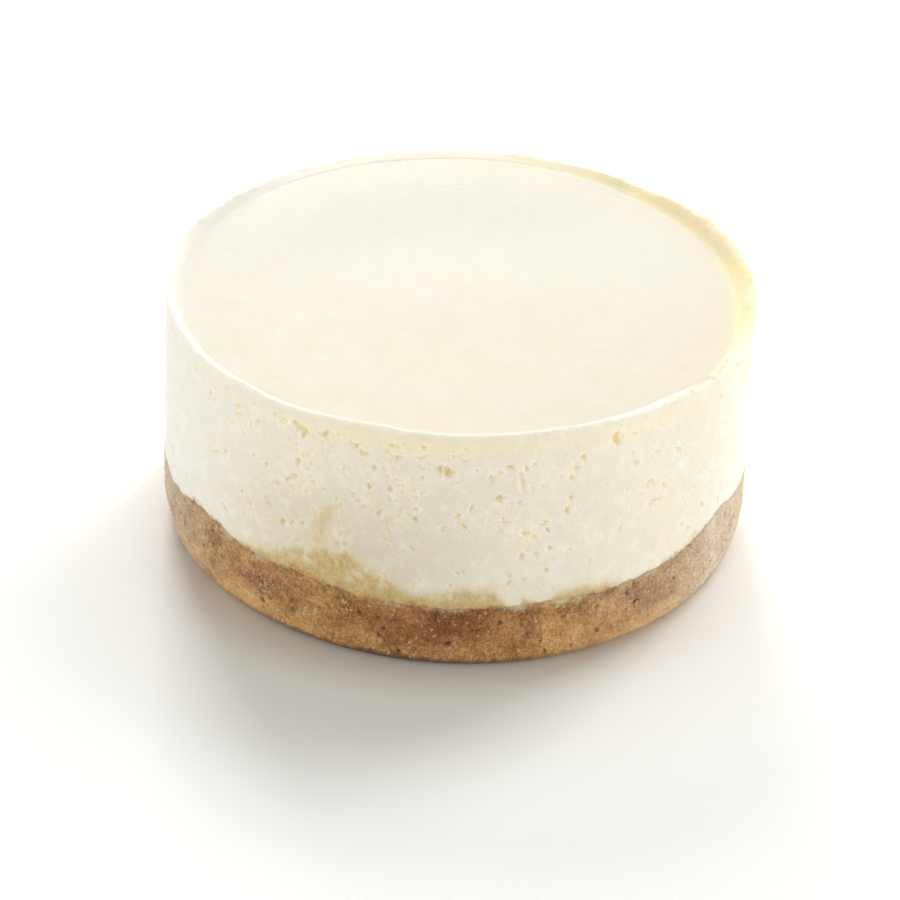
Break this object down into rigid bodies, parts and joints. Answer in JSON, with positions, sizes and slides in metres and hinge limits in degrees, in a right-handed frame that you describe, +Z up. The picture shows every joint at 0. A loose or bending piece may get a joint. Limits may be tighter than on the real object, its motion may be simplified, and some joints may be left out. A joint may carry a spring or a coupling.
{
  "type": "cheesecake",
  "caption": "Round single-serving baked cheesecake: a pale cream cheese filling with a raised rim and porous side on a pressed biscuit-crumb base.",
  "frame": {"origin": "centre of the flat underside of the base, on the surface that it rests on", "axes": "+Z up through the middle of the cake; the side that faces -Y is the pictured front"},
  "size_m": [0.0805, 0.0804, 0.0366],
  "materials": {
    "baked_biscuit": "pressed golden-brown biscuit crumb, rough and grainy, with small dark pits",
    "baked_cream_cheese": "soft matte ivory cream cheese, slightly translucent, yellower at the rim, soaked tan just above the base"
  },
  "bodies": {
    "root": {"biscuit_base": "baked_biscuit", "cheese_filling": "baked_cream_cheese"}
  },
  "joints": []
}
